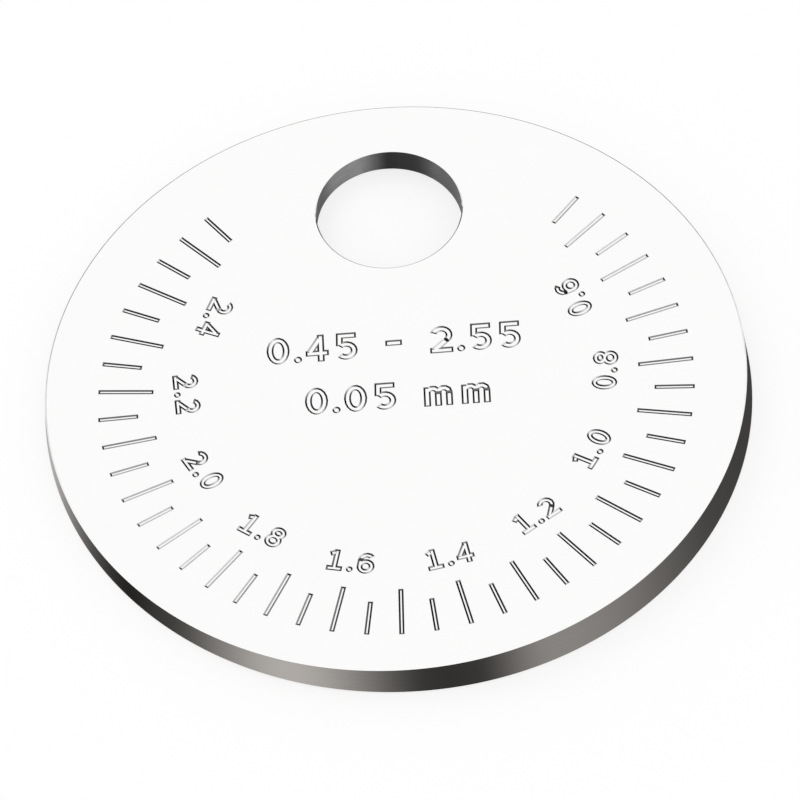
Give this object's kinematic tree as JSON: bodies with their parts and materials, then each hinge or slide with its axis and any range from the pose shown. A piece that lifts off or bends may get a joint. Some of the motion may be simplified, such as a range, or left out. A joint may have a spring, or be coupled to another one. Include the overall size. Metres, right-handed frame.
{
  "type": "spark plug gap gauge",
  "caption": "Round polished metal gauge for checking spark plug gaps: a thin disc of slowly changing thickness with an engraved millimetre scale and a key-ring hole.",
  "frame": {"origin": "under the middle of the disc, on its flat underside", "axes": "+Z through the thickness towards the marked face, +Y towards the key-ring hole, +X to the right when the marked face is read with the hole on top"},
  "size_m": [0.032, 0.032, 0.002],
  "materials": {
    "polished_metal": "polished, with the sides of its engraved marks blackened"
  },
  "bodies": {
    "root": {"gauge_disc": "polished_metal"}
  },
  "joints": []
}
